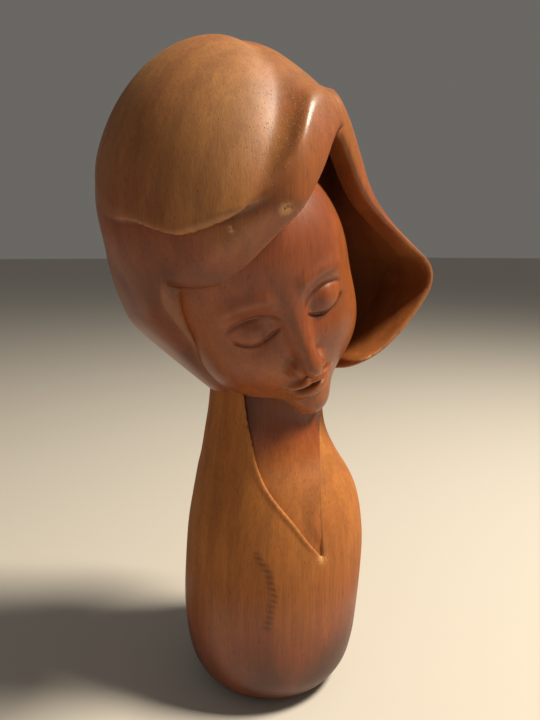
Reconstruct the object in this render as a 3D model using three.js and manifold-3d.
// A carved wooden bust that stands on a flat foot: an egg-shaped robe with a V neckline, a long neck,
// a tilted head, and a bell of hair that sweeps clear of the left cheek.
// Millimetres, +Z up, origin at the centre of the foot, the robe's front towards -Y.
import * as THREE from "three";
import { mergeVertices } from "three/addons/utils/BufferGeometryUtils.js";
import Module from "manifold-3d";

const wasm = await Module();
wasm.setup();

// ---- driving dimensions ----
const gap = 0.3; // clearance between neighbouring pieces
const bodyRadius = 46.3; // the robe at its widest
const neckRadius = 28.4; // the robe's collar round the neck
const skinInset = 1.2; // how far skin lies below the robe's surface
const collarTop = 186; // the robe's upper end, up under the hair

// ---- the robe and its neckline ----
// The outline from the foot up, as [share of bodyRadius, height].
const robeOutline = [
  [0.67, 0], [0.842, 8], [0.948, 24], [1, 56], [0.978, 82], [0.883, 104],
  [0.743, 121], [0.646, 134], [neckRadius / bodyRadius, 150], [0.608, collarTop],
];
// Each side of the V, as [across, height] up from its lowest point.
const necklinePoint = [-0.5, 81];
const necklineLeft = [[-10.3, 98.7], [-19.5, 120.6], [-24.6, 140], [-25.5, collarTop + 1]];
const necklineRight = [[0.9, 98.7], [4.7, 115.6], [11.5, 136], [21, collarTop + 1]];
const tenon = { radius: 12, bottom: 70, top: 168 }; // holds the neck in the robe
const headTenon = { radius: 10, top: 192 }; // holds the head on the neck

// ---- the head: rolled to its right and bowed ----
const faceCentre = [-15, -5, 213]; // inside the head, at eye level
const headRadius = 46;
const headAcross = new THREE.Vector3(0.881, -0.264, 0.394).normalize();
const headUp = new THREE.Vector3(-0.459, -0.2696, 0.846);
headUp.addScaledVector(headAcross, -headUp.dot(headAcross)).normalize();
const headBack = new THREE.Vector3().crossVectors(headUp, headAcross);

// ---- the hair: an egg, a ridge over its front band, a wing on the left and a hollow before the face ----
const hairCentre = [-28.7, -4, 237.6];
const hairMiddle = [-15, -4, 235]; // all of the hair's outside is in sight of this point
const hollowMiddle = [5, -30, 205]; // and all of the hollow's wall of this one
const hairRadii = { side: 55.5, depth: 58, up: 74.5, down: 84 };
const ridge = {
  normal: [-0.603, -0.427, 0.674],
  point: [-50.5, -44.9, 245.8],
  // how far the ridge wanders off its plane, by x
  wander: [
    [-95, -2.5], [-80, 2.2], [-65, -1], [-52, -0.5], [-41, 1.9], [-32, 6.8],
    [-22, 9.9], [-14, 7.5], [6, -8], [20, -10],
  ],
  crownLip: 5, // how far the crown's edge stands out over the band on the right
  lipStarts: [-88, -72], // across: no lip at the first, all of it at the second
  fade: 8, // the distance over which the lip melts into the crown
  bandRise: 7, // how far the band stands out over the crown in the middle
  bandFall: 3, // how much of that the band loses towards the face,
  fallDepth: -28, // by this far below the ridge
  rounding: 3,
};
const hairline = {
  normal: [-0.673, 0.069, 0.736],
  point: [-38.8, -41.2, 223.8],
  wander: [[-80, 17], [-62, 4.8], [-50, -3], [-42, -3.6], [-28, 1.2], [-11, 8.6], [10, 10]],
};
const wing = {
  direction: [0.933, -0.361, 0], // the way it flares
  starts: [-30, 40], // across: no flare at the first, all of it at the second
  // how far it stands out from the egg, by height
  flare: [
    [160, 30], [180, 41.5], [199, 50.5], [206, 52.5], [213, 51], [223.5, 39],
    [234, 25], [242.5, 17], [252, 12.5], [262, 11], [300, 11.5],
  ],
  back: { normal: [0, 0.88, 0.48], point: [0, -36, 291] }, // it melts into the crown behind this plane
  melts: [[200, 75], [245, 50], [290, 10]], // over this depth, by height
  thickness: 7.5,
  thicker: 3, // more of it above the cheek
};
const frontStarts = [25, -10]; // from back to front, where the ridge begins and is whole
const middleStarts = [-60, -25]; // from right to left, where the lip gives way to the band
// The wing's flat front edge, which lets the band's front pass it on the right.
const wingFront = { y: -47, endsAt: [5, -25], passes: 200, rounding: 8 };
const hollow = {
  right: -28, // its wall runs straight on from here to the right,
  floor: 160, // from here down,
  deep: -12, // and from here back beside the cheek
  shallow: -34, // or from here back above it
  cheekTop: [208, 226],
  back: 20,
  near: -50, // the end by the right temple, across the head
  front: -100,
  wallRounding: 8,
  backRounding: 14,
  nearRounding: 6,
};
const chinRoom = { from: [0, -25, 158], to: [0, -100, 146], radius: 28 };
const hem = { apex: 128, slope: 0.92, reach: 230, leftStretch: 1.54, backStretch: 1.43 };
const hemFront = { shrink: 0.6, starts: [23, -69] }; // steeper before the right temple

// ---- how finely round shapes are faceted ----
const facets = { robe: 44, robeRows: 24, peg: 32, hem: 40, chin: 32, head: 9, hair: 13, hollow: 8 };

const colours = { robe: 0xb07c40, skin: 0xa5662f, hair: 0xa4733f };

// ---- small helpers ----
const clamp01 = (value) => Math.min(Math.max(value, 0), 1);

function ramp(from, to, value) {
  const t = clamp01((value - from) / (to - from));
  return t * t * (3 - 2 * t);
}

// The lower of two fields, rounded over a width where they meet.
function smoothMin(a, b, width) {
  const h = Math.max(width - Math.abs(a - b), 0) / width;
  return Math.min(a, b) - h * h * width * 0.25;
}

const smoothMax = (a, b, width) => -smoothMin(-a, -b, width);

// The value at a place along a line of [place, value] points.
function read(points, place) {
  const next = points.findIndex((point) => point[0] > place);
  if (next <= 0) {
    return next === 0 ? points[0][1] : points.at(-1)[1];
  }
  const [[from, low], [to, high]] = [points[next - 1], points[next]];
  return low + ((high - low) * (place - from)) / (to - from);
}

// Distance out past a plane, along its normal.
function sideOf({ normal, point }, p) {
  const length = Math.hypot(...normal);
  return p.reduce((sum, value, axis) => sum + (value - point[axis]) * normal[axis], 0) / length;
}

// Signed distance to an ellipsoid about the origin, close to true near its surface.
function ellipsoidField(p, radii) {
  const scaled = Math.hypot(...p.map((value, axis) => value / radii[axis]));
  const slope = Math.hypot(...p.map((value, axis) => value / radii[axis] ** 2));
  return slope === 0 ? -Math.min(...radii) : (scaled * (scaled - 1)) / slope;
}

// An egg: an ellipsoid whose upper and lower halves have their own heights.
function eggField(p) {
  const q = p.map((value, axis) => value - hairCentre[axis]);
  const { side, depth, up, down } = hairRadii;
  return ellipsoidField(q, [side, depth, q[2] > 0 ? up : down]);
}

// ---- solids ----
function solidOf(geometry) {
  const plain = geometry.clone();
  plain.deleteAttribute("normal");
  plain.deleteAttribute("uv");
  const merged = mergeVertices(plain, 1e-4);
  const vertProperties = new Float32Array(merged.attributes.position.array);
  const triVerts = new Uint32Array(merged.index.array);
  return new wasm.Manifold(new wasm.Mesh({ numProp: 3, vertProperties, triVerts }));
}

function geometryOf(solid) {
  const mesh = solid.getMesh();
  const geometry = new THREE.BufferGeometry();
  geometry.setAttribute("position", new THREE.BufferAttribute(mesh.vertProperties, 3));
  geometry.setIndex(new THREE.BufferAttribute(mesh.triVerts, 1));
  geometry.computeVertexNormals();
  return geometry;
}

// A faceted ball drawn in, along its own radii, onto the outermost surface of a field.
// It steps inwards until it is inside the field, and then halves the last step.
function wrap(field, centre, detail) {
  const reach = 150;
  const step = 2;
  const halvings = 12;
  const ball = new THREE.IcosahedronGeometry(1, detail);
  ball.deleteAttribute("normal");
  ball.deleteAttribute("uv");
  const merged = mergeVertices(ball, 1e-4);
  const position = merged.attributes.position;
  const direction = new THREE.Vector3();
  for (let index = 0; index < position.count; index += 1) {
    direction.fromBufferAttribute(position, index).normalize();
    const at = (t) => direction.toArray().map((value, axis) => centre[axis] + value * t);
    let outside = reach;
    while (outside > step && field(at(outside - step)) > 0) {
      outside -= step;
    }
    let inside = outside - step;
    for (let halving = 0; halving < halvings; halving += 1) {
      const middle = (inside + outside) / 2;
      if (field(at(middle)) > 0) {
        outside = middle;
      } else {
        inside = middle;
      }
    }
    position.setXYZ(index, ...at(outside));
  }
  return solidOf(merged);
}

function lathe(profile, segments) {
  const points = profile.map(([radius, height]) => new THREE.Vector2(radius, height));
  const turned = new THREE.LatheGeometry(points, segments);
  turned.rotateX(Math.PI / 2);
  return solidOf(turned);
}

function peg(radius, bottom, top) {
  return lathe([[0, bottom], [radius, bottom], [radius, top], [0, top]], facets.peg);
}

// ---- the robe and neck ----
function bodyOfRevolution(inset) {
  const outline = robeOutline.map(([share, height]) => new THREE.Vector2(share * bodyRadius, height));
  const rows = new THREE.SplineCurve(outline).getPoints(facets.robeRows);
  const side = rows.map((point) => [point.x - inset, Math.max(point.y, 0)]);
  return lathe([[0, 0], ...side, [0, rows.at(-1).y]], facets.robe);
}

function necklineWedge(shrink) {
  const shifted = (points, by) => points.map(([across, height]) => [across + by, height]);
  const [across, height] = necklinePoint;
  const right = shifted(necklineRight, -shrink);
  const left = shifted(necklineLeft, shrink).reverse();
  const outline = [[across, height + 4 * shrink], ...right, ...left];
  const shape = new THREE.Shape(outline.map((point) => new THREE.Vector2(...point)));
  const wedge = new THREE.ExtrudeGeometry(shape, { depth: bodyRadius + 10, bevelEnabled: false });
  wedge.rotateX(Math.PI / 2);
  return solidOf(wedge);
}

function makeTorso(looseHead) {
  return bodyOfRevolution(0)
    .subtract(necklineWedge(0))
    .subtract(peg(tenon.radius + gap, tenon.bottom - gap, collarTop + 1))
    .subtract(looseHead);
}

function makeNeck(looseHead) {
  return bodyOfRevolution(skinInset)
    .intersect(necklineWedge(gap))
    .add(peg(tenon.radius, tenon.bottom, tenon.top))
    .subtract(looseHead)
    .add(peg(headTenon.radius, tenon.bottom, headTenon.top));
}

// ---- the head ----
function toHead(p) {
  const offset = new THREE.Vector3(...p.map((value, axis) => value - faceCentre[axis]));
  return [offset.dot(headAcross), offset.dot(headBack), offset.dot(headUp)];
}

// Skull, jaw and nose, as shares of the head's radius in the head's own axes.
function headField(p) {
  const q = toHead(p);
  const ball = (centre, radii) =>
    headRadius * ellipsoidField(q.map((value, axis) => value / headRadius - centre[axis]), radii);
  const skull = ball([0, -0.04, 0.13], [1, 1, 1.15]);
  const jaw = ball([0, -0.35, -0.7], [0.67, 0.65, 0.74]);
  const nose = ball([0, -1.06, -0.35], [0.16, 0.2, 0.36]);
  return smoothMin(smoothMin(skull, jaw, 26), nose, 8);
}

function makeHead() {
  return wrap(headField, faceCentre, facets.head).subtract(
    peg(headTenon.radius + gap, tenon.bottom, headTenon.top + gap),
  );
}

// ---- the hair ----
// Above 0 on the crown, below 0 on the band that comes forward from under it.
const aboveRidge = (p) => sideOf(ridge, p) - read(ridge.wander, p[0]);

function bandEgg(p) {
  const weight = ramp(...wing.starts, p[0]);
  const fade = 1 - ramp(0, read(wing.melts, p[2]), sideOf(wing.back, p));
  const flare = read(wing.flare, p[2]) * weight * fade;
  return { weight, fade, egg: eggField(p.map((value, axis) => value - flare * wing.direction[axis])) };
}

function hairForm(p) {
  const front = ramp(...frontStarts, p[1]);
  const middle = ramp(...middleStarts, p[0]);
  const above = aboveRidge(p);
  const lip = front * (1 - middle) * ridge.crownLip * ramp(...ridge.lipStarts, p[0]);
  const crown = Math.max(eggField(p) - lip * Math.exp(-Math.max(above, 0) / ridge.fade), -above);
  const { weight, fade, egg } = bandEgg(p);
  const rise = front * middle * ridge.bandRise * (1 - weight) * fade;
  const fall = (1 - weight) * ridge.bandFall * ramp(0, ridge.fallDepth, above);
  const face = wingFront.y - p[1] - wingFront.passes * ramp(...wingFront.endsAt, p[0]);
  const band = smoothMax(Math.max(egg - rise + fall, above), face, wingFront.rounding);
  return smoothMin(crown, band, ridge.rounding);
}

function hollowField(p) {
  const above = ramp(...hollow.cheekTop, p[2]);
  const tunnel = [
    Math.max(p[0], hollow.right),
    Math.max(p[1], hollow.deep + (hollow.shallow - hollow.deep) * above),
    Math.max(p[2], hollow.floor),
  ];
  const wall = bandEgg(tunnel).egg + wing.thickness + wing.thicker * above;
  const below = sideOf(hairline, p) - read(hairline.wander, p[0]);
  const sides = smoothMax(below, wall, hollow.wallRounding);
  const closed = smoothMax(sides, p[1] - hollow.back, hollow.backRounding);
  return Math.max(smoothMax(closed, hollow.near - toHead(p)[0], hollow.nearRounding), hollow.front - p[1]);
}

// A round-ended rod of air under the chin, so that no hair crosses the throat.
function chinClearance() {
  const from = new THREE.Vector3(...chinRoom.from);
  const way = new THREE.Vector3(...chinRoom.to).sub(from);
  const rod = new THREE.CapsuleGeometry(chinRoom.radius, way.length(), facets.chin / 4, facets.chin);
  const upright = new THREE.Vector3(0, 1, 0);
  rod.applyQuaternion(new THREE.Quaternion().setFromUnitVectors(upright, way.clone().normalize()));
  rod.translate(...from.addScaledVector(way, 0.5).toArray());
  return solidOf(rod);
}

// The hair lies above a cone round the neck, which opens wider to the left and the back
// and less wide before the right temple.
function hemCone() {
  const brim = hem.apex + hem.slope * hem.reach;
  const profile = [[0, hem.apex], [hem.reach, brim], [0, brim]];
  const cone = new THREE.LatheGeometry(profile.map((point) => new THREE.Vector2(...point)), facets.hem);
  cone.rotateX(Math.PI / 2);
  const position = cone.attributes.position;
  for (let index = 0; index < position.count; index += 1) {
    const x = position.getX(index);
    const y = position.getY(index);
    const front = 1 - (1 - hemFront.shrink) * ramp(...hemFront.starts, x);
    position.setXY(index, x * (x > 0 ? hem.leftStretch : 1), y * (y > 0 ? hem.backStretch : front));
  }
  return solidOf(cone);
}

function makeHair(looseHead) {
  return wrap(hairForm, hairMiddle, facets.hair)
    .subtract(wrap(hollowField, hollowMiddle, facets.hollow))
    .subtract(chinClearance())
    .intersect(hemCone())
    .subtract(looseHead)
    .subtract(peg(neckRadius + gap, tenon.bottom, collarTop + gap));
}

// ---- assembly ----
function largestPiece(solid) {
  return solid.decompose().sort((a, b) => b.volume() - a.volume())[0];
}

function part(name, solid, colour, roughness) {
  const material = new THREE.MeshStandardMaterial({ color: colour, roughness, metalness: 0 });
  const mesh = new THREE.Mesh(geometryOf(largestPiece(solid)), material);
  mesh.name = name;
  return mesh;
}

const looseHead = wrap((p) => headField(p) - gap, faceCentre, facets.head);
const bust = new THREE.Group();
bust.add(
  part("torso", makeTorso(looseHead), colours.robe, 0.5),
  part("neck", makeNeck(looseHead), colours.skin, 0.48),
  part("head", makeHead(), colours.skin, 0.42),
  part("hair", makeHair(looseHead), colours.hair, 0.5),
);

export default bust;
